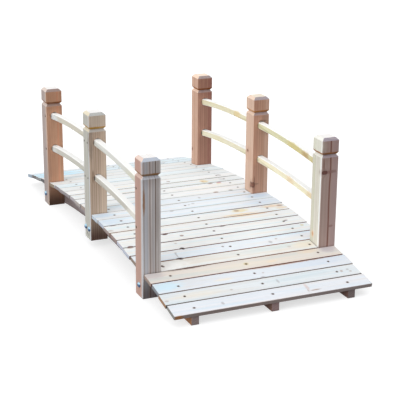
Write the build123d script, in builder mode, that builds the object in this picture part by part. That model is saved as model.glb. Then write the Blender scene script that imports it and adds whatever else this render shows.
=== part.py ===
from build123d import *
from math import asin, cos, degrees, hypot, radians, sin, sqrt
import os

os.makedirs("parts", exist_ok=True)

# Low arched garden bridge, millimetres. +X runs along the walk towards its front end,
# +Y across the walk towards the right-hand railing, +Z up. The ground is at z = 0.

# Arch and beams
arch_radius = 3660.0        # top of the beams, on which every board lies
beam_end_height = 27.5      # upright end face of a beam, standing on the ground
beam_depth = 73.5           # from the top arc down to the underside arc
beam_thickness = 24.0
beam_end_inset = 3.0        # how far a beam stops short of the end board's edge

# Deck boards
board_length = 662.0
board_width = 58.4
board_thickness = 12.5
board_gap = 2.95
board_edge = 0.9            # small bevel along each long edge
board_stray = 1.6           # how far a board's end may stray from the line of the ends
stray_step = 2.4            # turn, in radians, from one board's stray to the next, so that it looks uneven
boards_beyond_post = 4
boards_between_posts = 7

# Posts
post_side = 60.5
post_length = 446.0
post_corner = 2.0           # rounding of the four upright edges
post_proud = 4.0            # how far a post's outer face stands out past the boards' ends
post_clearance = 1.85       # between a post and the boards before and behind it
filler_clearance = 1.5      # between a post and the end of the board cut to fit inside it
cap_bevel = 9.0
groove_below_top = 56.0     # centre of the V groove under the cap
groove_height = 15.5
groove_depth = 6.5
middle_foot_drop = 9.0      # how far a middle post reaches below the beams beside it

# Rails
rail_side = 22.0
rail_edge = 2.0             # bevel along each of a rail's four long edges
rail_bow = 7.0              # rise of a rail above the straight line between its two posts
rail_heights = {"low": 221.0, "top": 345.0}   # hole centres above the foot of a post
hole_depth = 20.0
rail_play = 0.3             # around a rail in its round hole, and at its end

sides = {"left": -1, "right": 1}
ends = {"front": 1, "back": -1}


def polar(radius, turn, centre):
    """Point in the XZ plane at a radius from a centre, turned from upright towards +X."""
    return (centre[0] + radius * sin(turn), centre[1] + radius * cos(turn))


# Places along the arc, measured from the crown on the beams' top
post_place = post_side + 2 * post_clearance
between_run = boards_between_posts * board_width + (boards_between_posts - 1) * board_gap
beyond_run = boards_beyond_post * board_width + (boards_beyond_post - 1) * board_gap
board_pitch = board_width + board_gap
post_arc = post_place + between_run
half_arc = post_arc + post_place / 2 + beyond_run
end_board_turn = (half_arc - board_width / 2) / arch_radius

# Beams end just inside the end boards, and their end height sets the arch above the ground
beam_half = arch_radius * sin(end_board_turn) + board_width / 2 * cos(end_board_turn) - beam_end_inset
arch_centre = (0.0, beam_end_height - sqrt(arch_radius**2 - beam_half**2))
under_radius = arch_radius - beam_depth
foot_inner = sqrt(under_radius**2 - arch_centre[1] ** 2)
underside_crown = arch_centre[1] + under_radius

# Posts stand upright in the places left between the boards
post_spread = board_length + 2 * post_proud
post_x = (arch_radius + board_thickness / 2) * sin(post_arc / arch_radius)
post_y = post_spread / 2 - post_side / 2
post_inner = post_spread / 2 - post_side
middle_foot = underside_crown - middle_foot_drop

# Each rail is one arc, from the middle post's face to the end post's face
rail_near = (post_side / 2, middle_foot)
rail_far = (post_x - post_side / 2, 0.0)
rail_run = rail_far[0] - rail_near[0]
rail_fall = rail_near[1] - rail_far[1]
rail_chord = hypot(rail_run, rail_fall)
rail_radius = (rail_chord**2 / 4 + rail_bow**2) / (2 * rail_bow)
rail_lean = asin(rail_fall / rail_chord)
rail_half_turn = asin(rail_chord / 2 / rail_radius)
rail_centre = (
    (rail_near[0] + rail_far[0]) / 2 - (rail_radius - rail_bow) * sin(rail_lean),
    (rail_near[1] + rail_far[1]) / 2 - (rail_radius - rail_bow) * cos(rail_lean),
)
hole_radius = hypot(rail_side / 2, rail_side / 2 - rail_edge) + rail_play


def beam(name, y):
    """Arched beam: parallel arcs above and below, and flat feet at both ends."""
    with BuildPart() as piece:
        with BuildSketch(Plane.XZ.offset(-y)):
            with BuildLine():
                Polyline(
                    (foot_inner, 0), (beam_half, 0), (beam_half, beam_end_height)
                )
                ThreePointArc(
                    (beam_half, beam_end_height),
                    (0, arch_centre[1] + arch_radius),
                    (-beam_half, beam_end_height),
                )
                Polyline((-beam_half, beam_end_height), (-beam_half, 0), (-foot_inner, 0))
                ThreePointArc((-foot_inner, 0), (0, underside_crown), (foot_inner, 0))
            make_face()
        extrude(amount=beam_thickness / 2, both=True)
    piece.part.label = name
    export_step(piece.part, f"parts/{name}.step")


def board(name, arc, width, length, stray):
    """Flat board lying on the beams, square to the arch at its own middle."""
    turn = arc / arch_radius
    x, z = polar(arch_radius, turn, arch_centre)
    seat = Plane(origin=(x, stray, z), x_dir=(cos(turn), 0, -sin(turn)), z_dir=(sin(turn), 0, cos(turn)))
    with BuildPart() as piece:
        with BuildSketch(seat):
            Rectangle(width, length)
        extrude(amount=board_thickness)
        chamfer(piece.edges().filter_by(Axis.Y), length=board_edge)
    piece.part.label = name
    export_step(piece.part, f"parts/{name}.step")


def post(name, x, y, foot, hole_ends):
    """Square post, grooved under its cap on all four faces, with a round blind hole for each rail."""
    half = post_side / 2
    groove = post_length - groove_below_top
    base = Plane(origin=(x, y, foot))
    front_view = Plane(origin=base.origin, x_dir=(1, 0, 0), z_dir=(0, -1, 0))
    side_view = Plane(origin=base.origin, x_dir=(0, 1, 0), z_dir=(1, 0, 0))
    with BuildPart() as piece:
        with BuildSketch(base):
            RectangleRounded(post_side, post_side, post_corner)
        extrude(amount=post_length)
        for view in (front_view, side_view):
            with BuildSketch(view):
                with BuildLine():
                    Polyline(
                        (0, 0),
                        (half, 0),
                        (half, groove - groove_height / 2),
                        (half - groove_depth, groove),
                        (half, groove + groove_height / 2),
                        (half, post_length - cap_bevel),
                        (half - cap_bevel, post_length),
                        (0, post_length),
                        close=True,
                    )
                make_face()
                mirror(about=Plane.YZ)
            extrude(amount=post_side, both=True, mode=Mode.INTERSECT)
        for face_x, face_z, outward in hole_ends:
            for height in rail_heights.values():
                mouth = Vector(face_x, y, face_z + height)
                out = Vector(outward[0], 0, outward[1])
                with BuildSketch(Plane(origin=mouth - out * hole_depth, z_dir=out)):
                    Circle(hole_radius)
                extrude(amount=hole_depth + post_side / 2, mode=Mode.SUBTRACT)
    piece.part.label = name
    export_step(piece.part, f"parts/{name}.step")


def rail(name, end, y, height):
    """Square bar with bevelled edges, bent to one arc, its ends standing in the holes of two posts."""
    inner = rail_radius - rail_side / 2
    outer = rail_radius + rail_side / 2
    centre = (rail_centre[0], rail_centre[1] + height)
    reach = (hole_depth - rail_play) / rail_radius
    start = rail_lean - rail_half_turn - reach
    stop = rail_lean + rail_half_turn + reach
    middle = (start + stop) / 2

    def place(radius, turn):
        x, z = polar(radius, turn, centre)
        return (end * x, z)

    with BuildPart() as piece:
        with BuildSketch(Plane.XZ.offset(-y)):
            with BuildLine():
                ThreePointArc(place(outer, start), place(outer, middle), place(outer, stop))
                Line(place(outer, stop), place(inner, stop))
                ThreePointArc(place(inner, stop), place(inner, middle), place(inner, start))
                Line(place(inner, start), place(outer, start))
            make_face()
        extrude(amount=rail_side / 2, both=True)
        chamfer(piece.edges().filter_by(GeomType.CIRCLE), length=rail_edge)
    piece.part.label = name
    export_step(piece.part, f"parts/{name}.step")


beam_y = post_inner - beam_thickness / 2
for name, y in {"beam_left": -beam_y, "beam_middle": 0.0, "beam_right": beam_y}.items():
    beam(name, y)

# Boards from the front end to the back: four, a post's place, seven, a post's place, and so on
filler_width = post_place - 2 * board_gap
filler_length = 2 * (post_inner - filler_clearance)
rows = [(0.0, filler_width, filler_length)]
for k in range(boards_between_posts):
    rows.append((post_place / 2 + board_width / 2 + k * board_pitch, board_width, board_length))
rows.append((post_arc, filler_width, filler_length))
for k in range(boards_beyond_post):
    rows.append((post_arc + post_place / 2 + board_width / 2 + k * board_pitch, board_width, board_length))
deck = rows[::-1] + [(-arc, width, length) for arc, width, length in rows[1:]]
for number, (arc, width, length) in enumerate(deck, start=1):
    stray = 0.0 if length == filler_length else board_stray * sin(stray_step * number)
    board(f"deck_board_{number:02d}", arc, width, length, stray)

near_turn = rail_lean - rail_half_turn
far_turn = rail_lean + rail_half_turn
for side, across in sides.items():
    y = across * post_y
    middle_holes = [
        (end * rail_near[0], rail_near[1], (end * cos(near_turn), -sin(near_turn))) for end in ends.values()
    ]
    post(f"post_middle_{side}", 0.0, y, middle_foot, middle_holes)
    for place_name, end in ends.items():
        end_hole = (end * rail_far[0], rail_far[1], (-end * cos(far_turn), sin(far_turn)))
        post(f"post_{place_name}_{side}", end * post_x, y, 0.0, [end_hole])
        for level, height in rail_heights.items():
            rail(f"rail_{place_name}_{side}_{level}", end, y, height)

deck_half = (arch_radius + board_thickness) * sin(end_board_turn) + board_width / 2 * cos(end_board_turn)
print("deck length over the boards", round(2 * deck_half, 1), "width over the posts", post_spread)
print("posts at x", round(post_x, 1), "middle foot at z", round(middle_foot, 1))
print("top of the middle posts at z", round(middle_foot + post_length, 1))
print("crown of the deck at z", round(arch_centre[1] + arch_radius + board_thickness, 1))
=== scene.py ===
from math import asin, atan2, cos, pi, radians, sin

import bpy
import numpy as np
from mathutils import Matrix, Vector


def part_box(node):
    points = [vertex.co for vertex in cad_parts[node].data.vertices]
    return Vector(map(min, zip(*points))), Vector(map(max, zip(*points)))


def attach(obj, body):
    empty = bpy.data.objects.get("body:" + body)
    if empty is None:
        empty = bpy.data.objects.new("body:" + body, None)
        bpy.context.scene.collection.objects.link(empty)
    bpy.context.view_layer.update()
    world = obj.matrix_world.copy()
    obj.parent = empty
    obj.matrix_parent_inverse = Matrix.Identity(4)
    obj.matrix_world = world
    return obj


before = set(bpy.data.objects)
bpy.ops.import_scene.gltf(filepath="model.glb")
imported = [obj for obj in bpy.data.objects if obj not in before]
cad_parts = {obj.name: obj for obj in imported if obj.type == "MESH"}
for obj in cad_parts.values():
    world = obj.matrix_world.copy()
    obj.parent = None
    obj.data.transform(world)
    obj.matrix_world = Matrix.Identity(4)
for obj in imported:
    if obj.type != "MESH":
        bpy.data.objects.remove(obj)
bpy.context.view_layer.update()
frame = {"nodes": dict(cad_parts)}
timbers, scene = frame["nodes"], bpy.context.scene
print("frame loaded,", len(timbers), "timbers")

# Where the camera stands, how it is turned in degrees, and its lens and picture width in millimetres
viewpoint = {
    "stand": (3.6651, -1.5357, 1.4293), "azimuth": 66.16, "elevation": 18.23, "roll": 0.465,
    "lens": 106.9, "picture": 36.0,
}

studio = {
    "skyColour": (0.97, 0.985, 1.0),
    "skyStrength": 0.6,
    "lamps": {  # direction to each, its strength and its apparent size in degrees
        "overhead": {"from": (0.0, 0.0, 1.0), "strength": 0.84, "spread": 70.0},
        "left": {"from": (0.33, -0.86, 0.39), "strength": 1.6, "spread": 45.0},
    },
    "floorSize": 60.0,
    "floorDrop": 0.0004,   # keeps the floor just clear of the feet
    "floorSeen": 0.5,      # how light the floor is to the camera
    "floorLift": 0.66,     # added glow that brings the open floor to white
    "floorBounce": 0.06,   # how light it is to everything else
}


# Turns a paint card's three values, from 0 to 255, to linear light
def paint(card):
    shares = np.array(card) / 255
    linear = np.where(shares <= 0.04045, shares / 12.92, ((shares + 0.055) / 1.055) ** 2.4)
    return (*linear.tolist(), 1.0)


# The same colour, darker
def shaded(card, share):
    return (*(channel * share for channel in paint(card)[:3]), 1.0)


# Fills a node's inputs from values or other nodes' sockets
def feed(tree, made, feeds):
    for key, value in feeds.items():
        if isinstance(value, bpy.types.NodeSocket):
            tree.links.new(value, made.inputs[key])
        else:
            made.inputs[key].default_value = value
    return made


def put(tree, kind, feeds=None, **settings):
    made = tree.nodes.new("ShaderNode" + kind)
    for name, value in settings.items():
        setattr(made, name, value)
    return feed(tree, made, feeds or {})


def calc(tree, operation, *values):
    return put(tree, "Math", dict(enumerate(values)), operation=operation).outputs[0]


def vector(tree, operation, *values):
    made = put(tree, "VectorMath", dict(enumerate(values)), operation=operation)
    return made.outputs["Value" if operation in ("LENGTH", "DOT_PRODUCT") else "Vector"]


def times(tree, *values):
    product, *others = values
    for value in others:
        product = calc(tree, "MULTIPLY", product, value)
    return product


# Smooth step between two values of the input, rising or falling
def fade(tree, value, start, end, low=0.0, high=1.0):
    feeds = {"Value": value, "From Min": start, "From Max": end, "To Min": low, "To Max": high}
    return put(tree, "MapRange", feeds, interpolation_type="SMOOTHSTEP").outputs[0]


# Mixes two colours: a card's three values, a linear colour or another node's socket
def mixColour(tree, share, first, second, blend="MIX"):
    first, second = (paint(colour) if isinstance(colour, tuple) and len(colour) == 3 else colour
                     for colour in (first, second))
    feeds = {0: share, 6: first, 7: second}
    return put(tree, "Mix", feeds, data_type="RGBA", clamp_factor=True, blend_type=blend).outputs[2]


# Lays a colour over wood, by the product of its shares
def overlay(tree, wood, colour, *shares, blend="MIX"):
    return mixColour(tree, times(tree, *shares), wood, colour, blend)


def split(tree, place):
    return put(tree, "SeparateXYZ", {0: place}).outputs


# Cloudy noise, stretched as its kind says
def clouds(tree, place, kind, seed, detail=2.0, roughness=0.5):
    feeds = {"Vector": vector(tree, "MULTIPLY", place, cycles[kind]), "W": seed, "Scale": 1.0, "Detail": detail,
             "Roughness": roughness}
    return put(tree, "TexNoise", feeds, noise_dimensions="4D").outputs[0]


def openGroup(name, inputs):
    tree = bpy.data.node_groups.new(name, "ShaderNodeTree")
    for title, start in inputs.items():
        kind = "NodeSocketVector" if isinstance(start, tuple) else "NodeSocketFloat"
        tree.interface.new_socket(title, in_out="INPUT", socket_type=kind).default_value = start
    return tree, tree.nodes.new("NodeGroupInput").outputs


def closeGroup(tree, results):
    for title in results:
        tree.interface.new_socket(title, in_out="OUTPUT", socket_type="NodeSocketFloat")
    feed(tree, tree.nodes.new("NodeGroupOutput"), results)
    return tree


def useGroup(tree, group, feeds):
    return feed(tree, put(tree, "Group", node_tree=group), feeds).outputs


def newMaterial(title):
    material = bpy.data.materials.new(title)
    material.use_nodes = True
    material.node_tree.nodes.clear()
    return material, material.node_tree


def finishMaterial(tree, shader):
    tree.links.new(shader.outputs[0], put(tree, "OutputMaterial").inputs["Surface"])


# Cycles per metre of each noise, along a timber, across it and through it
cycles = {
    "waver": (2.2, 14.0, 14.0), "fibre": (16.0, 620.0, 620.0), "cloud": (3.5, 26.0, 26.0),
    "knot": (90.0, 160.0, 160.0), "stain": (60.0, 150.0, 150.0), "bands": (2.5, 55.0, 0.0),
    "bend": (5.0, 0.0, 0.0), "scorch": (0.0, 60.0, 60.0), "edgePatches": (30.0, 90.0, 90.0), "pores": (200.0, 900.0, 900.0),
    "metal": (420.0, 420.0, 420.0),
}
# What its further noises add to a timber's seed
seedShifts = {"cloud": 7.3, "bands": 41.0, "bend": 31.0, "scorch": 11.0, "edgePatches": 5.0, "pores": 3.0}
# Values of each noise between which its effect comes up
noiseFades = {"cloud": (0.35, 0.7), "fibre": (0.3, 0.75), "scorch": (0.3, 0.6), "edgePatches": (0.3, 0.6),
              "pores": (0.45, 0.65), "cool": (0.5, 0.34), "warm": (0.5, 0.66)}
bevelSamples, nookSamples = 6, 8

# Each year's dark line: its rise and fall as shares of the year, and how faint it may be
yearLine = {"rise": (0.25, 0.8), "fall": (1.0, 0.9), "faintest": 0.35}
unevenYears = {"scale": 0.45, "most": 1.3}
# How ragged the rims are, and where a knot's parts fade, in knot radii
ragged = {"knot": 0.9, "stain": 0.8}
knotParts = {"core": (1.1, 0.8), "rimOutside": (1.35, 1.0), "rimInside": (0.6, 0.95), "halo": (3.0, 0.9)}
stainFade = (1.25, 0.45)
edgeFade = (0.01, 0.22)
# Between which turns a face comes to count as broad, slanted or an end
faceFades = {"broad": (-0.12, 0.12), "slant": (0.45, 0.62), "end": (0.8, 0.92)}


# Growth rings: the distance from the tree's heart, wavering slowly along the timber and pushed out
# round knots, divided into years. Each year is pale and ends in a thin dark line.
def makeGrowthRings():
    tree, given = openGroup("growthRings", {"Place": (0, 0, 0), "Heart": (0, 0, 0), "Ring Width": 0.004,
                                            "Waver": 0.004, "Swell": 0.0, "Seed": 0.0})
    place, seed = given["Place"], given["Seed"]
    waver = calc(tree, "SUBTRACT", clouds(tree, place, "waver", seed), 0.5)
    flat = vector(tree, "MULTIPLY", vector(tree, "SUBTRACT", place, given["Heart"]), (0, 1, 1))
    distance = calc(tree, "MULTIPLY_ADD", waver, given["Waver"], vector(tree, "LENGTH", flat))
    years = calc(tree, "DIVIDE", calc(tree, "ADD", distance, given["Swell"]), given["Ring Width"])
    feeds = {"W": calc(tree, "ADD", years, seed), "Scale": unevenYears["scale"], "Detail": 1.0}
    uneven = put(tree, "TexNoise", feeds, noise_dimensions="1D").outputs[0]
    years = calc(tree, "MULTIPLY_ADD", uneven, unevenYears["most"], years)
    share = calc(tree, "FRACT", years)
    feeds = {"W": calc(tree, "ADD", calc(tree, "FLOOR", years), seed)}
    perYear = put(tree, "TexWhiteNoise", feeds, noise_dimensions="1D").outputs[0]
    strength = calc(tree, "MULTIPLY_ADD", perYear, 1 - yearLine["faintest"], yearLine["faintest"])
    return closeGroup(tree, {
        "Line": times(tree, fade(tree, share, *yearLine["rise"]), fade(tree, share, *yearLine["fall"]), strength),
        "Fibre": clouds(tree, place, "fibre", seed, 3.0, 0.6),
        "Cloud": clouds(tree, place, "cloud", calc(tree, "ADD", seed, seedShifts["cloud"])),
    })


# A knot: a stub of branch that runs through the timber along an axis. Its distance is measured in
# knot radii across that axis, drawn out along the grain, and ends at its reach.
def makeBranchKnot():
    tree, given = openGroup("branchKnot", {"Place": (0, 0, 0), "Centre": (0, 0, 0), "Axis": (0, 0, 1),
                                           "Radius": 0.006, "Along": 1.3, "Reach": 0.02, "Seed": 0.0})
    arm = vector(tree, "SUBTRACT", given["Place"], given["Centre"])
    depth = vector(tree, "DOT_PRODUCT", arm, given["Axis"])
    scaledAxis = put(tree, "VectorMath", {0: given["Axis"], "Scale": depth}, operation="SCALE").outputs["Vector"]
    flat = vector(tree, "SUBTRACT", arm, scaledAxis)
    stretch = put(tree, "CombineXYZ", {"X": calc(tree, "DIVIDE", 1.0, given["Along"]), "Y": 1.0, "Z": 1.0})
    flat = vector(tree, "MULTIPLY", flat, stretch.outputs[0])
    stray = calc(tree, "SUBTRACT", clouds(tree, given["Place"], "knot", given["Seed"]), 0.5)
    radii = calc(tree, "DIVIDE", vector(tree, "LENGTH", flat), given["Radius"])
    radii = calc(tree, "MULTIPLY_ADD", stray, ragged["knot"], radii)
    within = fade(tree, calc(tree, "ABSOLUTE", depth), given["Reach"], times(tree, given["Reach"], 0.7))
    fall = calc(tree, "EXPONENT", times(tree, calc(tree, "POWER", radii, 2.0), -0.3))
    parts = {part: fade(tree, radii, *limits) for part, limits in knotParts.items()}
    return closeGroup(tree, {
        "Core": times(tree, parts["core"], within), "Halo": times(tree, parts["halo"], within),
        "Rim": times(tree, parts["rimOutside"], parts["rimInside"], within),
        "Swell": times(tree, fall, given["Radius"], within),
    })


# A soft stain: an ellipsoid with a ragged feathered rim. Its size is half its length, width and depth.
def makeSoftStain():
    tree, given = openGroup("softStain", {"Place": (0, 0, 0), "Centre": (0, 0, 0), "Size": (0.01, 0.01, 0.01),
                                          "Seed": 0.0})
    arm = vector(tree, "DIVIDE", vector(tree, "SUBTRACT", given["Place"], given["Centre"]), given["Size"])
    stray = calc(tree, "SUBTRACT", clouds(tree, given["Place"], "stain", given["Seed"]), 0.5)
    away = calc(tree, "MULTIPLY_ADD", stray, ragged["stain"], vector(tree, "LENGTH", arm))
    return closeGroup(tree, {"Mask": fade(tree, away, *stainFade)})


# Edges: where the rounded normal leaves the face's own normal, an edge is near. A pale edge colour there is a
# painted highlight, a dark one darkens the edge
def makeEdgeTint():
    tree, given = openGroup("edgeTint", {"Radius": 0.0015})
    rounded = put(tree, "Bevel", {"Radius": given["Radius"]}, samples=bevelSamples).outputs[0]
    face = put(tree, "NewGeometry").outputs["Normal"]
    apart = calc(tree, "SUBTRACT", 1.0, vector(tree, "DOT_PRODUCT", rounded, face))
    return closeGroup(tree, {"Edge": fade(tree, apart, *edgeFade)})


# Which way a face looks: broad against side, on the slant of a bevel, or square to the grain
def makeFaceTurn():
    tree, given = openGroup("faceTurn", {"Grain": (1, 0, 0), "Broad": (0, 0, 1), "Side": (0, 1, 0), "Split": 0.0})
    face = put(tree, "NewGeometry").outputs["Normal"]
    grain, broad, side = (calc(tree, "ABSOLUTE", vector(tree, "DOT_PRODUCT", face, given[k]))
                          for k in ("Grain", "Broad", "Side"))
    lean = calc(tree, "SUBTRACT", calc(tree, "SUBTRACT", broad, side), given["Split"])
    return closeGroup(tree, {"Broad": fade(tree, lean, *faceFades["broad"]),
                             "Slant": fade(tree, grain, *faceFades["slant"]),
                             "End": fade(tree, grain, *faceFades["end"])})


growthRings = makeGrowthRings()
branchKnot = makeBranchKnot()
softStain = makeSoftStain()
edgeTint = makeEdgeTint()
faceTurn = makeFaceTurn()
print("shared wood effects ready")

# What every timber has unless its look says otherwise
woodShared = {
    "contrast": 1.0, "cloud": 0.35, "fibre": 0.18, "split": 0.0, "pores": 0.25, "endLines": 0.6,
    "specular": 0.3, "roughness": (0.62, 0.78), "bump": {"Strength": 0.5, "Distance": 0.0006},
}
# What every knot has unless it says otherwise
knotShared = {
    "axis": (0, 0, 1), "along": 1.4, "reach": 0.03, "strength": 0.8, "halo": 0.35, "rim": 0.6,
    "colour": (150, 96, 62), "rimColour": (84, 52, 40),
}


def woodNoise(tree, own, look, kind):
    return clouds(tree, own, kind, look["seed"] + seedShifts[kind])


# Wood on the long faces: rings, clouds and fibre in the pale and dark wood of the broad faces and of the
# sides. The side that looks away may have wood of its own.
def figuredWood(tree, own, look, rings, broadFace):
    side = look["side"]
    if "farSide" in look:
        far = fade(tree, split(tree, own)["Y"], -0.002, 0.002)
        side = [mixColour(tree, far, *both) for both in zip(side, look["farSide"])]
    pale, dark = (mixColour(tree, broadFace, *both) for both in zip(side, look["broad"]))
    wood = overlay(tree, pale, dark, rings["Line"], look["contrast"])
    wood = overlay(tree, wood, dark, fade(tree, rings["Cloud"], *noiseFades["cloud"], 0.0, look["cloud"]))
    wood = overlay(tree, wood, dark, fade(tree, rings["Fibre"], *noiseFades["fibre"]), look["fibre"])
    if "bands" in look:  # wide soft bands, cool at one end of the noise and warm at the other
        band = woodNoise(tree, own, look, "bands")
        for tint, colour in look["bands"].items():
            wood = overlay(tree, wood, colour, fade(tree, band, *noiseFades[tint]), blend="MULTIPLY")
    return wood


# A long band of other wood, also used as a painted highlight along a post's corner: the pair of faces it is on,
# its place across them, half width, colour, strength, how much of its width is solid and how far it bends
def streak(face, at, width, colour, strength=0.8, core=0.4, waver=0.004):
    return dict(face=face, at=at, width=width, colour=colour, strength=strength, core=core, waver=waver)


def streakedWood(tree, own, look, broadFace, wood):
    for band in look.get("streaks", ()):
        broad = band["face"] == "broad"
        bend = calc(tree, "SUBTRACT", woodNoise(tree, own, look, "bend"), 0.5)
        across = calc(tree, "MULTIPLY_ADD", bend, band["waver"], split(tree, own)["Y" if broad else "Z"])
        away = calc(tree, "ABSOLUTE", calc(tree, "SUBTRACT", across, band["at"]))
        mask = fade(tree, away, band["width"], band["width"] * band["core"])
        there = broadFace if broad else calc(tree, "SUBTRACT", 1.0, broadFace)
        wood = overlay(tree, wood, band["colour"], mask, there, band["strength"])
    return wood


def stainedWood(tree, own, look, wood):
    for number, stain in enumerate(look.get("stains", ())):
        feeds = {"Place": own, "Centre": stain["centre"], "Size": stain["size"], "Seed": look["seed"] + number}
        wood = overlay(tree, wood, stain["colour"], useGroup(tree, softStain, feeds)["Mask"], stain["strength"])
    return wood


def knottyWood(tree, look, knots, wood):
    for made, knot in knots:
        wood = overlay(tree, wood, look["broad"][1], made["Halo"], knot["halo"])
        wood = overlay(tree, wood, knot["colour"], made["Core"], knot["strength"])
        wood = overlay(tree, wood, knot["rimColour"], made["Rim"], knot["rim"])
    return wood


# Scorched where the cutter ran: a band between two heights, fading at both
def groovedWood(tree, own, look, wood):
    groove = look["groove"]
    away = calc(tree, "ABSOLUTE", calc(tree, "SUBTRACT", split(tree, own)["X"], groove["height"]))
    mask = fade(tree, away, groove["reach"], groove["reach"] * 0.6)
    patchy = fade(tree, woodNoise(tree, own, look, "scorch"), *noiseFades["scorch"], 0.7, 1.0)
    return overlay(tree, wood, groove["colour"], mask, patchy)


# Painted shade on broad faces: from under the groove up, and from the foot up to under the deck; and painted shade
# in narrow nooks
def paintedShadeWood(tree, own, look, broadFace, wood):
    height, underDeck, nookShade = split(tree, own)["X"], look["underDeckHeight"], look["nookShade"]
    cap = fade(tree, height, *(look["groove"]["height"] + shift for shift in look["capFrom"]))
    wood = overlay(tree, wood, look["capShade"], cap, broadFace, blend="MULTIPLY")
    wood = overlay(tree, wood, look["underDeckShade"], fade(tree, height, underDeck, underDeck * 0.1), broadFace, blend="MULTIPLY")
    room = put(tree, "AmbientOcclusion", {"Distance": nookShade["reach"]}, samples=nookSamples).outputs["AO"]
    return overlay(tree, wood, nookShade["colour"], fade(tree, room, 0.6, 0.2, 0.0, nookShade["strength"]))


# Light on a post's bevels: over the groove, and weaker on its lower slant
def bevelledWood(tree, own, look, facing, line, wood):
    broadBevel, sideBevel = look["bevels"]
    bevel = overlay(tree, mixColour(tree, facing["Broad"], sideBevel, broadBevel), look["end"][1], line, 0.35)
    above, groove = split(tree, own)["X"], look["groove"]["height"]
    over = fade(tree, above, *(groove + shift for shift in look["overGroove"]))
    under = fade(tree, above, *(groove + shift for shift in look["underGroove"]), 0.0, look["lowerBevel"])
    return overlay(tree, wood, bevel, facing["Slant"], calc(tree, "ADD", over, under))


# Wood for one timber in its own frame: X along the grain, Z out of its broad face, Y across it
def timberMaterial(title, look, place, grain, broad):
    material, tree = newMaterial(title)
    look = {**woodShared, **look}
    grain, broad = Vector(grain), Vector(broad)
    side = broad.cross(grain)
    feeds = {"Vector": put(tree, "TexCoord").outputs["Object"], "Location": place,
             "Rotation": Matrix((grain, side, broad)).transposed().to_euler("XYZ")}
    own = put(tree, "Mapping", feeds, vector_type="TEXTURE").outputs[0]

    knots, swell = [], 0.0
    for number, knot in enumerate(look.get("knots", ())):
        knot = {**knotShared, **knot}
        given = {key.title(): knot[key] for key in ("centre", "axis", "radius", "along", "reach")}
        made = useGroup(tree, branchKnot, {**given, "Place": own, "Seed": look["seed"] + number})
        knots.append((made, knot))
        swell = calc(tree, "ADD", swell, made["Swell"])
    rings = useGroup(tree, growthRings, {
        "Place": own, "Heart": (0, *look["heart"]), "Ring Width": look["ringWidth"], "Waver": look["waver"],
        "Swell": swell, "Seed": look["seed"],
    })
    facing = useGroup(tree, faceTurn, {"Grain": grain, "Broad": broad, "Side": side, "Split": look["split"]})

    wood = figuredWood(tree, own, look, rings, facing["Broad"])
    wood = streakedWood(tree, own, look, facing["Broad"], wood)
    # Edge colour, patchy along the edges: a painted highlight where the colour is pale
    edgeMask = useGroup(tree, edgeTint, {"Radius": look["edgeRadius"]})["Edge"]
    uneven = fade(tree, woodNoise(tree, own, look, "edgePatches"), *noiseFades["edgePatches"], 0.35, 1.0)
    wood = overlay(tree, wood, look["edgeColour"], edgeMask, uneven, look["edgeShare"])
    wood = stainedWood(tree, own, look, wood)
    wood = knottyWood(tree, look, knots, wood)
    if "groove" in look:
        wood = bevelledWood(tree, own, look, facing, rings["Line"], wood)
        wood = groovedWood(tree, own, look, wood)
        wood = paintedShadeWood(tree, own, look, facing["Broad"], wood)
    pores = fade(tree, woodNoise(tree, own, look, "pores"), *noiseFades["pores"])
    endWood = overlay(tree, *look["end"], rings["Line"], look["endLines"])
    endWood = overlay(tree, endWood, look["end"][1], pores, look["pores"])
    wood = mixColour(tree, facing["End"], wood, endWood)

    height = calc(tree, "MULTIPLY_ADD", rings["Line"], 0.5, times(tree, rings["Fibre"], 0.5))
    for made, _ in knots:
        height = calc(tree, "MULTIPLY_ADD", made["Rim"], -0.6, height)
    rounded = put(tree, "Bevel", {"Radius": look["edgeRadius"]}, samples=bevelSamples).outputs[0]
    bump = put(tree, "Bump", {**look["bump"], "Height": height, "Normal": rounded})
    finishMaterial(tree, put(tree, "BsdfPrincipled", {
        "Base Color": wood, "Roughness": fade(tree, rings["Fibre"], 0.2, 0.8, *look["roughness"]),
        "Normal": bump.outputs[0], "Specular IOR Level": look["specular"],
    }))
    return material


def addObject(title, data):
    made = bpy.data.objects.new(title, data)
    scene.collection.objects.link(made)
    return made


def turnObject(made, turn):
    made.rotation_mode, made.rotation_quaternion = "QUATERNION", turn


def dress(name, look, place, grain, broad):
    timber = timbers[name]
    timber.data.materials.clear()
    timber.data.materials.append(timberMaterial(name + "_wood", look, tuple(place), grain, broad))


def middleOf(name):
    low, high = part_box(name)
    return (low + high) / 2


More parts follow.
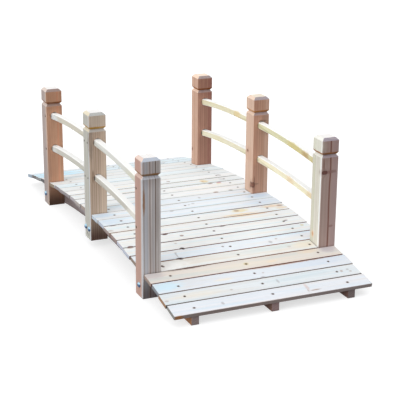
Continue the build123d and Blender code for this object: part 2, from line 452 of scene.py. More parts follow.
# Posts. A knot or stain is on the front face, which looks along the walk, or on the left one, at its height above
# the foot and its place across, towards +Y or +X. Then come a knot's radius and how far it is drawn out, or a
# stain's half height, half width, colour and strength.
postShared = {
    # The posts' pale edge colour is a painted highlight along their edges
    "end": ((250, 249, 248), (226, 214, 204)), "edgeColour": (232, 230, 232),
    "edgeShare": 0.6, "edgeRadius": 0.0022, "cloud": 0.3, "waver": 0.004,
    "lowerBevel": 0.75, "overGroove": (0.012, 0.016), "underGroove": (-0.002, -0.004),
    # Cap shade and under-deck shade are painted shade on the broad faces: below the cap, and from the foot up to
    # the deck's underside
    "capShade": (236, 230, 226), "capFrom": (-0.05, -0.01), "underDeckHeight": 0.08, "underDeckShade": (119, 117, 121),
    # Painted shade in narrow nooks: dark brown where ambient occlusion finds close walls
    "nookShade": {"reach": 0.012, "strength": 0.85, "colour": (84, 56, 46)},
}
postMarks = {"grooveBelowTop": 0.0508, "grooveReach": 0.0052, "depth": 0.02, "knotColour": (122, 74, 58),
             "rimColour": (78, 48, 42)}
postLooks = {
    "post_back_left": {
        "heart": (0.075, 0.01), "ringWidth": 0.0042, "waver": 0.005,
        "broad": ((208, 163, 134), (172, 120, 92)), "side": ((198, 183, 178), (171, 154, 147)),
        "bevels": ((162, 142, 138), (216, 200, 190)), "scorch": (150, 98, 60),
        "streaks": [
            streak("broad", 0.013, 0.005, (222, 150, 118), 0.35),
            # painted highlight along the near corner
            streak("side", -0.024, 0.008, (214, 186, 162), 0.7),
        ],
        "stains": [
            ("left", 0.347, 0.012, 0.006, 0.009, (150, 128, 118), 0.5),
            ("left", 0.219, 0.01, 0.006, 0.012, (150, 128, 118), 0.4),
            ("left", 0.1, 0.0, 0.13, 0.04, (166, 156, 154), 0.3),
        ],
    },
    "post_middle_left": {
        "heart": (0.12, 0.05), "ringWidth": 0.0065,
        "broad": ((212, 190, 170), (162, 132, 110)), "side": ((208, 206, 198), (188, 186, 175)),
        "bevels": ((186, 187, 184), (226, 216, 190)), "scorch": (200, 150, 66),
        "capShade": (250, 250, 250), "underDeckShade": (143, 127, 128),
        "streaks": [
            # painted highlight along the near corner
            streak("side", -0.027, 0.005, (226, 232, 240), 0.7),
            streak("broad", 0.02, 0.014, (226, 204, 182), 0.5),
        ],
        "stains": [
            ("front", 0.227, -0.018, 0.024, 0.005, (132, 106, 88), 0.6),
            ("front", 0.345, -0.024, 0.06, 0.009, (150, 132, 118), 0.75),
            # painted shade below the cap, like the cap shade
            ("front", 0.36, 0.0, 0.035, 0.03, (170, 148, 130), 0.4),
            ("front", 0.42, 0.0, 0.03, 0.04, (208, 194, 178), 0.5),
            ("left", 0.018, -0.006, 0.0065, 0.0034, (92, 86, 80), 0.85),
            ("left", 0.015, 0.008, 0.0075, 0.0034, (92, 86, 80), 0.85),
        ],
    },
    "post_front_left": {
        "heart": (0.14, 0.02), "ringWidth": 0.0085, "cloud": 0.4, "edgeShare": 0.85,
        "lowerBevel": 0.5,
        "broad": ((224, 218, 217), (104, 82, 68)), "side": ((208, 175, 162), (187, 148, 135)),
        "bevels": ((208, 220, 236), (230, 206, 194)), "scorch": (164, 122, 76),
        "capShade": (232, 229, 228), "underDeckShade": (176, 167, 166), "edgeColour": (244, 248, 252),
        "streaks": [
            # pale wood with a painted highlight along the near corner
            streak("side", -0.0262, 0.0065, (214, 214, 216), 0.95, core=0.6),
            # painted highlight along the near corner
            streak("broad", -0.0295, 0.003, (214, 218, 226), core=0.6),
            streak("broad", -0.0175, 0.008, (192, 193, 200), 0.8),
            streak("broad", 0.0065, 0.005, (178, 174, 178), 0.4),
            streak("broad", -0.005, 0.005, (142, 118, 108), 0.45),
        ],
        "stains": [
            ("front", 0.314, -0.0245, 0.045, 0.0042, (150, 108, 74), 0.9),
            ("left", 0.343, -0.021, 0.006, 0.005, (122, 96, 80), 0.6),
            ("left", 0.218, -0.022, 0.006, 0.005, (122, 96, 80), 0.6),
            ("left", 0.415, 0.004, 0.03, 0.03, (214, 172, 158), 0.4),
        ],
    },
    "post_back_right": {
        "heart": (0.05, 0.02), "ringWidth": 0.0055, "waver": 0.006,
        "broad": ((190, 146, 126), (146, 100, 84)), "side": ((207, 170, 149), (190, 150, 128)),
        "bevels": ((168, 156, 160), (240, 210, 188)), "scorch": (148, 86, 40),
        "end": ((252, 234, 216), (238, 204, 176)),
        "streaks": [streak("broad", 0.021, 0.012, (168, 118, 104), core=0.6)],
        "knots": [("left", 0.145, -0.02, 0.003, 1.5)],
    },
    "post_middle_right": {
        "heart": (0.06, 0.04), "ringWidth": 0.006, "waver": 0.008,
        "broad": ((206, 163, 139), (168, 125, 104)), "side": ((217, 187, 167), (200, 164, 142)),
        "bevels": ((172, 162, 170), (234, 208, 188)), "scorch": (182, 124, 70),
        "capShade": (242, 238, 236), "end": ((240, 228, 210), (222, 204, 182)),
        "streaks": [
            streak("broad", -0.02, 0.012, (190, 142, 120), 0.7),
            streak("broad", 0.021, 0.012, (232, 196, 174), 0.55),
        ],
        "knots": [("left", 0.245, -0.012, 0.005, 0.8), ("front", 0.127, -0.027, 0.0062, 1.5)],
        "stains": [
            ("front", 0.129, -0.022, 0.03, 0.003, (96, 70, 60), 0.6),
            ("front", 0.13, -0.018, 0.004, 0.014, (130, 98, 84), 0.6),
            ("left", 0.119, 0.012, 0.013, 0.012, (170, 134, 116), 0.5),
            ("left", 0.235, 0.0, 0.03, 0.03, (204, 164, 142), 0.5),
            # painted shadow in the gap of the hole above the top rail
            ("front", 0.3605, 0.005, 0.0042, 0.016, (84, 64, 50), 0.9),
            ("front", 0.352, 0.016, 0.045, 0.018, (160, 128, 112), 0.6),
        ],
    },
    "post_front_right": {
        "heart": (0.02, 0.05), "ringWidth": 0.007,
        "broad": ((194, 168, 160), (152, 124, 118)), "side": ((222, 218, 208), (200, 194, 176)),
        "bevels": ((166, 158, 170), (238, 238, 230)), "scorch": (160, 108, 64),
        "capShade": (242, 238, 236), "knotColour": (96, 50, 42),
        "streaks": [
            streak("broad", -0.019, 0.014, (172, 150, 140), 0.6),
            streak("broad", 0.019, 0.012, (176, 150, 150), 0.5),
            streak("broad", 0.0015, 0.004, (122, 78, 64), 0.85, waver=0.012),
            streak("side", 0.016, 0.01, (204, 204, 180), 0.6),
            # painted highlight along the near corner
            streak("side", -0.026, 0.006, (248, 250, 248), 0.8),
        ],
        "knots": [("front", 0.334, -0.0185, 0.009, 0.7)],
        "stains": [
            ("front", 0.334, -0.006, 0.006, 0.018, (140, 96, 88), 0.7),
            ("front", 0.356, -0.0215, 0.022, 0.003, (126, 88, 78), 0.7),
            ("front", 0.335, 0.012, 0.006, 0.014, (138, 108, 102), 0.7),
            ("front", 0.151, 0.011, 0.005, 0.011, (138, 100, 96), 0.6),
            ("left", 0.117, -0.012, 0.014, 0.01, (230, 194, 160), 0.7),
            ("left", 0.116, -0.012, 0.0085, 0.0045, (192, 138, 98), 0.75),
            ("left", 0.42, 0.0, 0.03, 0.04, (228, 228, 214), 0.6),
        ],
    },
}
hidden = {"count": 2, "height": (0.12, 0.36), "across": (-0.018, 0.018), "radius": (0.0025, 0.0055),
          "along": 1.3, "strength": 0.7}


# Where a mark sits on a post's front or left face, or with minus the half width on the opposite one
def onFace(face, height, across, half):
    if face == "front":
        return {"centre": (height, across, -half), "axis": (0, 0, 1)}
    return {"centre": (height, -half, -across), "axis": (0, 1, 0)}


rng = np.random.default_rng(11)
for number, (name, look) in enumerate(postLooks.items(), 1):
    low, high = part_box(name)
    half, depth = (high.x - low.x) / 2, postMarks["depth"]
    knots, stains = [], []
    for face, height, across, radius, along in look.get("knots", ()):
        knots.append({**onFace(face, height, across, half), "radius": radius, "along": along, "reach": depth,
                      "colour": look.get("knotColour", postMarks["knotColour"]),
                      "rimColour": postMarks["rimColour"]})
    for face, height, across, tall, wide, colour, strength in look.get("stains", ()):
        size = (tall, wide, depth) if face == "front" else (tall, depth, wide)
        stains.append({**onFace(face, height, across, half), "size": size, "colour": colour, "strength": strength})
    for face in ("front", "left"):  # small knots on the back and right faces
        for _ in range(hidden["count"]):
            height, across = rng.uniform(*hidden["height"]), rng.uniform(*hidden["across"])
            knots.append({**onFace(face, height, across, -half), "radius": rng.uniform(*hidden["radius"]),
                          "reach": depth, "along": hidden["along"], "strength": hidden["strength"]})
    full = {
        **postShared, **look, "seed": float(number), "knots": knots, "stains": stains,
        "groove": {"height": high.z - low.z - postMarks["grooveBelowTop"], "reach": postMarks["grooveReach"],
                   "colour": look["scorch"]},
    }
    dress(name, full, ((low.x + high.x) / 2, (low.y + high.y) / 2, low.z), (0, 0, 1), (-1, 0, 0))
print("posts dressed")


# Deck boards, numbered from the front end: tones of dried softwood and which boards have them
plainTone = ((247, 249, 249), (236, 237, 236))
boardTones = {
    "haze": ((234, 237, 243), (223, 226, 231), [1]), "dull": ((229, 234, 237), (218, 221, 223), [2]),
    "cool": ((230, 235, 241), (219, 223, 229), [3]), "cream": ((231, 225, 218), (220, 210, 200), [4]),
    "warm": ((239, 240, 237), (228, 225, 218), [5]), "ice": ((238, 250, 255), (226, 238, 244), [23, 24]),
    "milk": ((243, 248, 253), (232, 237, 243), [6, 11, 12, 13, 25]),
    "snow": ((254, 255, 255), (245, 246, 247), [14, 15, 17]), "frost": ((246, 254, 255), (236, 244, 250), [19]),
}
boardToneOf = {board: (pale, dark) for pale, dark, boards in boardTones.values() for board in boards}
markTones = {
    "grey": (168, 164, 166), "pink": (214, 188, 178), "brown": (158, 122, 100), "dark": (88, 50, 42),
    "redDark": (112, 48, 34), "cool": (226, 236, 248), "shade": (198, 190, 194), "rose": (206, 140, 150),
    "lilac": (218, 225, 238), "paintedLight": (254, 255, 252), "cyan": (200, 238, 255), "rust": (176, 116, 62),
    "umber": (152, 94, 34), "straw": (238, 222, 176), "cream": (242, 230, 208), "peach": (240, 214, 184),
    "honey": (238, 206, 154), "blue": (202, 224, 244), "yellow": (208, 190, 120), "orange": (206, 148, 96),
    "black": (60, 22, 6), "bruise": (116, 70, 36),
}
# Marks of each board: tone, place from its middle along it and towards the front, half length, half width, strength
boardMarks = {
    1: [("grey", -0.166, 0.003, 0.006, 0.009, 0.6), ("pink", 0.12, -0.008, 0.0065, 0.022, 0.6),
        ("brown", 0.116, 0.01, 0.003, 0.009, 0.4), ("brown", 0.14, 0.013, 0.02, 0.0032, 0.8),
        ("rust", -0.318, 0.031, 0.018, 0.0035, 0.9)],
    2: [("cream", -0.22, 0.0, 0.1, 0.02, 0.35), ("brown", -0.108, 0.004, 0.006, 0.004, 0.5),
        ("brown", -0.32, 0.01, 0.008, 0.006, 0.4), ("grey", 0.051, -0.001, 0.005, 0.013, 0.5),
        ("brown", 0.274, 0.0, 0.006, 0.006, 0.6), ("brown", 0.303, 0.008, 0.006, 0.005, 0.5),
        ("grey", 0.298, -0.004, 0.006, 0.005, 0.6)],
    3: [("cream", -0.108, 0.006, 0.035, 0.008, 0.6), ("brown", 0.026, 0.002, 0.005, 0.004, 0.45),
        ("cyan", -0.295, -0.004, 0.06, 0.03, 0.55), ("lilac", 0.2, -0.01, 0.13, 0.022, 0.5),
        ("grey", 0.014, 0.027, 0.009, 0.006, 0.8), ("umber", 0.12, -0.03, 0.25, 0.0075, 0.8)],
    4: [("peach", 0.086, 0.007, 0.022, 0.007, 0.6), ("cream", 0.0, 0.004, 0.19, 0.018, 0.3),
        ("yellow", 0.0, -0.001, 0.01, 0.009, 0.6), ("shade", -0.305, -0.014, 0.04, 0.022, 0.6),
        ("shade", 0.3, -0.016, 0.036, 0.024, 0.8), ("peach", 0.23, -0.018, 0.045, 0.012, 0.5),
        ("dark", -0.185, -0.03, 0.085, 0.008, 0.9), ("umber", 0.2, -0.03, 0.13, 0.005, 0.3)],
    5: [("cream", 0.24, -0.005, 0.05, 0.024, 0.6), ("brown", 0.185, -0.005, 0.008, 0.006, 0.3),
        # painted light at the left end fills the front left post's shadow
        ("paintedLight", -0.26, 0.0, 0.1, 0.035, 1.0), ("umber", -0.2, -0.03, 0.12, 0.0045, 0.5),
        ("dark", -0.2565, 0.002, 0.006, 0.006, 0.9), ("black", -0.184, -0.0285, 0.0085, 0.0065, 1.0)],
    6: [("grey", -0.189, 0.008, 0.003, 0.018, 0.6), ("grey", -0.187, -0.009, 0.005, 0.005, 0.6),
        ("black", -0.184, 0.0285, 0.0095, 0.0055, 1.0), ("black", -0.1515, -0.029, 0.0065, 0.006, 1.0),
        ("dark", -0.024, -0.006, 0.0052, 0.0048, 0.8), ("grey", 0.14, 0.009, 0.008, 0.01, 0.6),
        ("brown", 0.168, -0.006, 0.006, 0.005, 0.5)],
    7: [("brown", -0.157, -0.012, 0.006, 0.005, 0.4), ("yellow", 0.304, -0.014, 0.007, 0.008, 0.6),
        ("brown", -0.305, -0.026, 0.016, 0.006, 0.7), ("umber", 0.0, -0.03, 0.33, 0.0045, 0.45),
        ("black", -0.1515, 0.0275, 0.0075, 0.0075, 1.0)],
    8: [("dark", 0.266, -0.004, 0.01, 0.0045, 0.8), ("dark", 0.041, -0.027, 0.013, 0.004, 0.8),
        ("dark", -0.165, -0.0265, 0.012, 0.007, 1.0)],
    9: [("orange", 0.185, -0.0265, 0.1, 0.005, 0.6), ("honey", 0.17, -0.022, 0.07, 0.006, 0.4)],
    10: [("honey", 0.14, 0.021, 0.075, 0.007, 0.7), ("straw", 0.158, -0.01, 0.036, 0.016, 0.8),
        ("brown", 0.147, -0.013, 0.012, 0.01, 0.6), ("peach", 0.285, -0.012, 0.05, 0.014, 0.8),
        ("brown", 0.312, -0.009, 0.013, 0.009, 0.7), ("honey", 0.31, 0.01, 0.025, 0.012, 0.5),
        ("dark", -0.3, -0.027, 0.014, 0.004, 0.6), ("brown", -0.322, 0.012, 0.012, 0.008, 0.4),
        ("umber", 0.2, -0.03, 0.12, 0.007, 0.5)],
    11: [("grey", -0.067, -0.026, 0.008, 0.008, 0.6), ("blue", 0.27, 0.0, 0.09, 0.028, 0.35),
        ("blue", -0.3, -0.004, 0.05, 0.026, 0.35)],
    12: [("blue", -0.3, -0.006, 0.05, 0.026, 0.6), ("blue", 0.285, -0.004, 0.055, 0.026, 0.6),
        ("grey", 0.016, -0.002, 0.006, 0.004, 0.8), ("grey", 0.034, -0.009, 0.007, 0.006, 0.6)],
    13: [("grey", 0.08, 0.001, 0.006, 0.009, 0.6), ("cool", 0.24, 0.012, 0.02, 0.008, 0.5)],
    14: [("brown", 0.16, 0.027, 0.012, 0.008, 0.8), ("grey", 0.219, 0.026, 0.01, 0.009, 0.8)],
    15: [("brown", 0.19, -0.022, 0.011, 0.009, 0.8), ("rose", 0.225, -0.022, 0.011, 0.009, 0.9),
        ("straw", 0.219, -0.01, 0.012, 0.008, 0.6)],
    16: [("straw", 0.18, 0.002, 0.018, 0.02, 0.9), ("honey", 0.176, -0.008, 0.01, 0.012, 0.6),
        ("brown", 0.172, 0.006, 0.004, 0.012, 0.4), ("grey", 0.25, 0.0, 0.01, 0.018, 0.25),
        ("umber", 0.24, -0.03, 0.08, 0.007, 0.5)],
    17: [("cream", -0.12, 0.0, 0.08, 0.02, 0.3), ("grey", 0.27, 0.0, 0.008, 0.016, 0.6)],
    18: [("grey", -0.21, 0.01, 0.006, 0.005, 0.4)],
    20: [("grey", 0.18, -0.024, 0.05, 0.006, 0.4)],
    21: [("brown", -0.07, 0.004, 0.006, 0.005, 0.4)],
    22: [("peach", 0.1, 0.0, 0.06, 0.012, 0.5)],
    23: [("cyan", -0.25, 0.0, 0.12, 0.04, 0.85)],
    24: [("cyan", -0.25, 0.0, 0.12, 0.04, 0.85), ("brown", 0.21, 0.008, 0.007, 0.005, 0.5),
        ("cream", -0.05, -0.01, 0.07, 0.012, 0.6)],
}
# Knots: the same place, radius and tone of the knot's heart
boardKnots = {
    6: [(-0.191, 0.033, 0.0078, "black")],
    7: [(-0.1515, 0.029, 0.0058, "black")],
    8: [(-0.306, 0.029, 0.0062, "redDark"), (-0.117, 0.001, 0.0045, "brown")],
    17: [(0.06, 0.006, 0.005, "brown")],
    19: [(-0.15, -0.012, 0.006, "brown")],
    23: [(0.19, 0.004, 0.0065, "brown"), (-0.23, -0.01, 0.004, "dark")],
    25: [(-0.04, 0.0, 0.0055, "brown")],
}
# Sawn edges in each seam, from the first board's front edge to the last one's back edge: the dark tones are partly
# painted shade in the gaps, the pale ones painted light
seamTones = [
    (166, 152, 149), (130, 118, 110), (130, 118, 110), (98, 34, 12), (126, 82, 56), (142, 84, 52), (124, 90, 74),
    (84, 38, 20), (112, 76, 58), (160, 124, 94), (108, 98, 92), (228, 224, 222), (202, 198, 196), (228, 224, 222),
    (202, 198, 196), (92, 84, 80), (108, 96, 88), (216, 216, 216), (196, 194, 194), (224, 224, 226),
    (214, 210, 208), (222, 220, 218), *[(178, 175, 174)] * 3, (166, 152, 149),
]
# The ends of each board
endTones = [
    (152, 150, 146), (172, 136, 108), (146, 150, 156), (168, 148, 138), (168, 160, 152), (158, 142, 130),
    (206, 212, 226), (212, 214, 228), (172, 152, 146), (172, 154, 150), (206, 216, 230), (208, 220, 232),
    (166, 158, 160), (184, 168, 158), (194, 186, 180), (196, 190, 192), *[(166, 158, 160)] * 3,
    (158, 142, 122), (156, 140, 122), (104, 102, 102), (156, 155, 155), (126, 121, 121), (172, 187, 202),
]
paleEdges = {"edgeColour": (170, 152, 136), "edgeShare": 0.35, "edgeRadius": 0.0012}
brownEdges = {"edgeColour": (166, 92, 52), "edgeShare": 0.7, "edgeRadius": 0.0026}
boardShared = {"waver": 0.01, "contrast": 0.6, "split": 0.5,
               "bands": {"cool": (244, 252, 255), "warm": (254, 249, 244)}}
decking = {
    "count": 25, "markDepth": 0.02, "knotAlong": 1.3, "darkShare": 0.62, "brownEdged": range(3, 10),
    "heartSide": (-0.03, 0.03), "heartDepth": (-0.09, -0.03), "ringWidth": (0.0032, 0.0055),
    "nailRow": 0.985,     # outer rows, as a share of the beams' distance
    "nailStray": 0.0025,  # how unevenly the nails are driven
}
nailBruise = (0.006, 0.006, 0.6)  # half length, half width and strength of the mark round a nail


def boardName(number):
    return f"deck_board_{number:02d}"


crownBoard = boardName((decking["count"] + 1) // 2)
crown, firstBoard = middleOf(crownBoard), middleOf(boardName(1))
deckFall = crown.z - firstBoard.z
deckRadius = (firstBoard.x**2 + deckFall**2) / (2 * deckFall)  # circle through the boards' middles
nailRows = [middleOf(f"beam_{side}").y * decking["nailRow"] for side in ("left", "middle", "right")]

rng = np.random.default_rng(7)
stray = decking["nailStray"]
nailedBoards = []  # each board's middle, its turn, and where its nails are
for number in range(1, decking["count"] + 1):
    middle = middleOf(boardName(number))
    turn = asin(middle.x / deckRadius)
    spots = [(row + rng.uniform(-stray, stray), rng.uniform(-stray, stray)) for row in nailRows]
    nailedBoards.append((middle, turn, spots))
    knots = [{"centre": (along, -towards, 0.0), "radius": radius, "along": decking["knotAlong"],
              "colour": markTones[tone]} for along, towards, radius, tone in boardKnots.get(number, ())]
    marks = [*boardMarks.get(number, ()), *(("bruise", *spot, *nailBruise) for spot in spots)]
    stains = [{"centre": (along, -towards, 0.0), "size": (long, wide, decking["markDepth"]),
               "colour": markTones[tone], "strength": strength}
              for tone, along, towards, long, wide, strength in marks]
    tones = [(card, shaded(card, decking["darkShare"]))
             for card in (*seamTones[number - 1:number + 1], endTones[number - 1])]
    look = {
        **boardShared, **(brownEdges if number in decking["brownEdged"] else paleEdges),
        "seed": 20.0 + number, "broad": boardToneOf.get(number, plainTone),
        "side": tones[0], "farSide": tones[1], "end": tones[2],
        "heart": (rng.uniform(*decking["heartSide"]), rng.uniform(*decking["heartDepth"])),
        "ringWidth": rng.uniform(*decking["ringWidth"]), "knots": knots, "stains": stains,
    }
    dress(boardName(number), look, middle, (0, 1, 0), (sin(turn), 0, cos(turn)))
print("deck boards dressed")


# Rails: pale bars, white above and tinted on their sides
railShared = {
    "heart": (0.03, 0.05), "ringWidth": 0.0035, "waver": 0.006, "contrast": 0.5, "cloud": 0.5, "split": -0.15,
    "broad": ((253, 253, 252), (246, 245, 240)), "end": ((210, 196, 176), (170, 150, 128)),
    "edgeColour": (252, 252, 250), "edgeShare": 0.3, "edgeRadius": 0.0016,
}
# A darker stripe on each rail's sides, and its stains on the left one
railStripe = {"at": -0.0085, "width": 0.005, "shade": 0.75, "strength": 0.5, "waver": 0.003}
railStain = {"wideShare": 0.45, "depth": 0.03, "strength": 0.75}
# Each rail's pale and dark sides, and its stains: place from its middle, half length, colour
railLooks = {
    "rail_front_left_top": ((243, 243, 238), (228, 227, 214), [(0.15, 0.08, (232, 230, 210))]),
    "rail_front_left_low": ((222, 219, 210), (203, 198, 184), [(0.15, 0.07, (250, 246, 236))]),
    "rail_back_left_top": ((229, 224, 210), (212, 204, 184), [(-0.2, 0.07, (240, 246, 250))]),
    "rail_back_left_low": ((222, 220, 210), (200, 196, 182), [(-0.2, 0.05, (232, 234, 232))]),
    "rail_front_right_top": ((224, 223, 190), (208, 198, 148),
                             [(0.055, 0.06, (212, 196, 128)), (0.13, 0.03, (186, 152, 98)),
                              (0.19, 0.03, (204, 188, 130))]),
    "rail_front_right_low": ((246, 241, 214), (234, 222, 184),
                             [(0.03, 0.03, (234, 210, 172)), (0.17, 0.03, (228, 206, 168))]),
    "rail_back_right_top": ((234, 230, 206), (220, 206, 162), [(0.1, 0.03, (226, 204, 152))]),
    "rail_back_right_low": ((236, 231, 208), (222, 213, 176), [(-0.06, 0.06, (230, 222, 190))]),
}
for number, (name, (pale, dark, stains)) in enumerate(railLooks.items()):
    low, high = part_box(name)
    way = 1 if "front" in name else -1
    slope = atan2(high.z - low.z, high.x - low.x)
    width = (high.y - low.y) / 2
    look = {
        **railShared, "seed": 60.0 + number, "side": (pale, dark),
        "streaks": [streak("side", railStripe["at"], railStripe["width"], shaded(dark, railStripe["shade"]),
                           railStripe["strength"], waver=railStripe["waver"])],
        "stains": [{"centre": (along, -width, 0.0), "colour": colour,
                    "size": (long, width * railStain["wideShare"], railStain["depth"]),
                    "strength": railStain["strength"]} for along, long, colour in stains],
    }
    dress(name, look, (low + high) / 2, (cos(slope), 0, -way * sin(slope)), (way * sin(slope), 0, cos(slope)))
print("rails dressed")

# Beams: sawn arches, darker and rougher than the deck; their sides are darkened partly as painted shade from the
# deck above
beamShared = {
    "heart": (0.02, -0.08), "ringWidth": 0.0045, "waver": 0.012, "cloud": 0.5,
    "broad": ((150, 126, 112), (112, 88, 76)), "side": ((150, 138, 138), (92, 72, 66)),
    "edgeColour": (98, 66, 54), "edgeShare": 0.8, "edgeRadius": 0.004,
}
# On each beam's left face: fresher wood low down near the front end, and paler wood behind the middle post
freshWood = {"along": 0.73, "size": (0.055, 0.006, 0.05), "strength": 0.85}
paleWood = {"along": -0.21, "rise": 0.014, "size": (0.2, 0.006, 0.035), "strength": 0.85, "colour": (194, 186, 190)}
# The colour of each beam's fresh wood and of its ends, whose dark wood is as the share says
beamPaints = {"left": ((186, 128, 84), (160, 141, 139)), "middle": ((132, 96, 80), (165, 138, 137)),
              "right": ((122, 88, 78), (136, 121, 119))}
beamEndShare = 0.52
for number, (side, (colour, end)) in enumerate(beamPaints.items()):
    name = f"beam_{side}"
    low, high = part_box(name)
    middle = (low + high) / 2
    face = low.y - middle.y
    stains = [{**freshWood, "centre": (freshWood["along"], face, low.z - middle.z), "colour": colour},
              {**paleWood, "centre": (paleWood["along"], face, paleWood["rise"])}]
    look = {**beamShared, "seed": 80.0 + number, "stains": stains, "end": (end, shaded(end, beamEndShare))}
    dress(name, look, middle, (1, 0, 0), (0, 0, 1))
print("beams dressed")


# Metal of one colour, blotched with another, and of a third, a painted highlight, where it looks up
metalFinish = {"seed": 1.0, "detail": 3.0, "rough": (-0.08, 0.12),
               "bump": {"Strength": 0.3, "Distance": 0.0002}}


def metalMaterial(title, colour, stain, paintedHighlight, metallic, roughness):
    material, tree = newMaterial(title)
    source = put(tree, "TexCoord").outputs["Object"]
    blotch = clouds(tree, source, "metal", metalFinish["seed"], metalFinish["detail"])
    bump = put(tree, "Bump", {**metalFinish["bump"], "Height": blotch})
    blotched = mixColour(tree, fade(tree, blotch, 0.4, 0.65), colour, stain)
    # painted highlight: lighter where the surface looks up
    upward = fade(tree, split(tree, put(tree, "NewGeometry").outputs["Normal"])["Z"], 0.0, 0.6)
    smooth, rough = (roughness + change for change in metalFinish["rough"])
    finishMaterial(tree, put(tree, "BsdfPrincipled", {
        "Base Color": mixColour(tree, upward, blotched, paintedHighlight), "Metallic": metallic,
        "Roughness": fade(tree, blotch, 0.3, 0.7, smooth, rough), "Normal": bump.outputs[0],
    }))
    return material


zinc = metalMaterial("blued_zinc", (62, 96, 140), (40, 62, 100), (176, 216, 236), 0.3, 0.3)
iron = metalMaterial("nail_iron", (48, 30, 15), (36, 23, 12), (54, 35, 18), 0.0, 0.8)


# Turned shape: a profile's radii and heights carried round a circle in equal steps and closed by a fan
# of triangles at each end
def turned(ends, profile, steps):
    radius, height = np.array(profile).T
    turn = np.linspace(0, 2 * pi, steps, endpoint=False)
    rings = np.stack([
        radius[:, None] * np.cos(turn), radius[:, None] * np.sin(turn), np.repeat(height[:, None], steps, 1),
    ], -1).reshape(-1, 3)
    points = np.concatenate([rings, [(0, 0, ends[0]), (0, 0, ends[1])]])
    around = np.arange(steps)
    after = (around + 1) % steps
    start = np.arange(len(profile) - 1)[:, None] * steps
    quads = np.stack([start + around, start + after, start + steps + after, start + steps + around], -1)
    last = (len(profile) - 1) * steps
    bottom = np.stack([np.full(steps, len(rings)), after, around], -1)
    top = np.stack([np.full(steps, len(rings) + 1), last + around, last + after], -1)
    return points, quads.reshape(-1, 4), np.concatenate([bottom, top])


# One mesh from copies of a shape, each turned by its frame's axes and moved to its place
def scattered(title, shape, places, frames, material):
    points, *kinds = shape
    places, frames = np.array(places), np.array(frames)
    every = np.einsum("nij,pj->npi", frames, points) + places[:, None, :]
    shift = np.arange(len(places))[:, None, None] * len(points)
    faces = [face for kind in kinds for face in (kind[None] + shift).reshape(-1, kind.shape[1]).tolist()]
    mesh = bpy.data.meshes.new(title)
    mesh.from_pydata(every.reshape(-1, 3), [], faces)
    mesh.polygons.foreach_set("use_smooth", np.ones(len(mesh.polygons), bool))
    mesh.materials.append(material)
    mesh.update()
    piece = addObject(title, mesh)
    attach(piece, "root")


# Axes of a frame whose Z looks the given way, as columns
def looking(way):
    z = Vector(way).normalized()
    x = z.orthogonal().normalized()
    return np.array([x, z.cross(x), z]).T


nail = {"radius": 0.0035, "dome": 0.0005, "sunk": 0.0006, "steps": 16,
        "rings": ((1.0, -1.2), (1.0, 0.35), (0.75, 0.8), (0.4, 1.0))}  # shares of the radius and of the dome
nailHead = turned((-nail["sunk"], nail["dome"]),
                  [(nail["radius"] * out, nail["dome"] * up) for out, up in nail["rings"]], nail["steps"])

places, frames = [], []
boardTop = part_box(crownBoard)[1].z - crown.z  # height of a board's top over its middle
for middle, turn, spots in nailedBoards:
    up, ahead = Vector((sin(turn), 0, cos(turn))), Vector((cos(turn), 0, -sin(turn)))
    for along, towards in spots:
        places.append(Vector((middle.x, middle.y + along, middle.z)) + up * boardTop + ahead * towards)
        frames.append(looking(up))
scattered("deck_nails", nailHead, places, frames, iron)
print("deck nails driven:", len(places))

# Sets a fastener on the posts' outer faces, at its heights and its shifts along the walk
def fasten(title, shape, fastener, material):
    places, frames = [], []
    for side, across in {"left": -1, "right": 1}.items():
        for place in ("front", "middle", "back"):
            low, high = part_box(f"post_{place}_{side}")
            middle, face = (low.x + high.x) / 2, high.y if across > 0 else low.y
            for shift in fastener["shifts"][place]:
                for height in fastener["heights"]:
                    places.append((middle + shift, face, low.z + height))
                    frames.append(looking((0, across, 0)))
    scattered(title, shape, places, frames, material)
    print(title, "set:", len(places))


# Nails that pin the rails in their holes
railPins = {"heights": (0.219, 0.343), "shifts": {"front": (-0.019,), "middle": (-0.019, 0.012), "back": (0.014,)}}
fasten("rail_nails", nailHead, railPins, iron)

# Carriage bolts: one through an end post and its beam, two through a middle post
bolt = {"radius": 0.0086, "dome": 0.0065, "rim": 0.0012, "steps": 28, "curve": 7, "heights": (0.038,),
        "shifts": {"front": (0.002,), "middle": (-0.018, 0.016), "back": (-0.008,)}}
arc = np.linspace(0, pi / 2, bolt["curve"])[:-1]
dome = [(bolt["radius"] * cos(a), bolt["rim"] + (bolt["dome"] - bolt["rim"]) * sin(a)) for a in arc]
boltHead = turned((-nail["sunk"], bolt["dome"]), [(bolt["radius"], -nail["sunk"]), *dome], bolt["steps"])
fasten("carriage_bolts", boltHead, bolt, zinc)


# 1 for rays that come straight from the camera, or by way of metal or glass
def seenByCamera(tree):
    ways = put(tree, "LightPath").outputs
    return calc(tree, "MAXIMUM", calc(tree, "MAXIMUM", ways["Is Camera Ray"], ways["Is Glossy Ray"]),
                ways["Is Transmission Ray"])


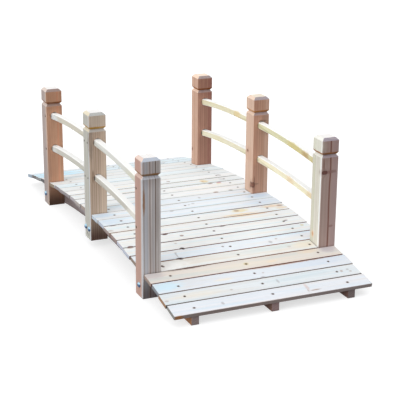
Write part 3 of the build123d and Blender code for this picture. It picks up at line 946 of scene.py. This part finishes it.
# Floor: white to the camera, with the bridge's soft shadow, and dimmer to everything else
floorMesh = bpy.data.meshes.new("floor")
reach, drop = studio["floorSize"] / 2, -studio["floorDrop"]
floorMesh.from_pydata([(-reach, -reach, drop), (reach, -reach, drop), (reach, reach, drop), (-reach, reach, drop)],
                      [], [(0, 1, 2, 3)])
floor = addObject("floor", floorMesh)
floorPaint, tree = newMaterial("floor_paint")
shown = seenByCamera(tree)
grey = mixColour(tree, shown, (studio["floorBounce"],) * 3 + (1.0,), (studio["floorSeen"],) * 3 + (1.0,))
matt = put(tree, "BsdfDiffuse", {"Color": grey})
glow = put(tree, "Emission", {"Color": (1, 1, 1, 1), "Strength": times(tree, shown, studio["floorLift"])})
finishMaterial(tree, put(tree, "AddShader", {0: matt.outputs[0], 1: glow.outputs[0]}))
floorMesh.materials.append(floorPaint)

# Sky: even and pale, plain white where the camera sees it
world = bpy.data.worlds.new("studio")
scene.world = world
world.use_nodes = True
tree = world.node_tree
tree.nodes.clear()
plain = put(tree, "Background", {"Color": (*studio["skyColour"], 1.0), "Strength": studio["skyStrength"]})
white = put(tree, "Background", {"Color": (1, 1, 1, 1), "Strength": 1.0})
either = put(tree, "MixShader", {0: seenByCamera(tree), 1: plain.outputs[0], 2: white.outputs[0]})
tree.links.new(either.outputs[0], put(tree, "OutputWorld").inputs["Surface"])

for name, setting in studio["lamps"].items():
    light = bpy.data.lights.new(name, "SUN")
    light.energy = setting["strength"]
    light.angle = radians(setting["spread"])
    turnObject(addObject(name, light), Vector(setting["from"]).to_track_quat("Z", "Y"))

azimuth, elevation, roll = (radians(viewpoint[k]) for k in ("azimuth", "elevation", "roll"))
back = Vector((sin(azimuth) * cos(elevation), -cos(azimuth) * cos(elevation), sin(elevation)))
level = Vector((cos(azimuth), sin(azimuth), 0))
upright = back.cross(level)
across = level * cos(roll) + upright * sin(roll)
upward = upright * cos(roll) - level * sin(roll)
lens = bpy.data.cameras.new("camera")
lens.lens = viewpoint["lens"]
lens.sensor_width = viewpoint["picture"]
scene.camera = addObject("camera", lens)
scene.camera.location = viewpoint["stand"]
turnObject(scene.camera, Matrix((across, upward, back)).transposed().to_quaternion())
scene.view_settings.view_transform = "Standard"
print("studio and camera set")
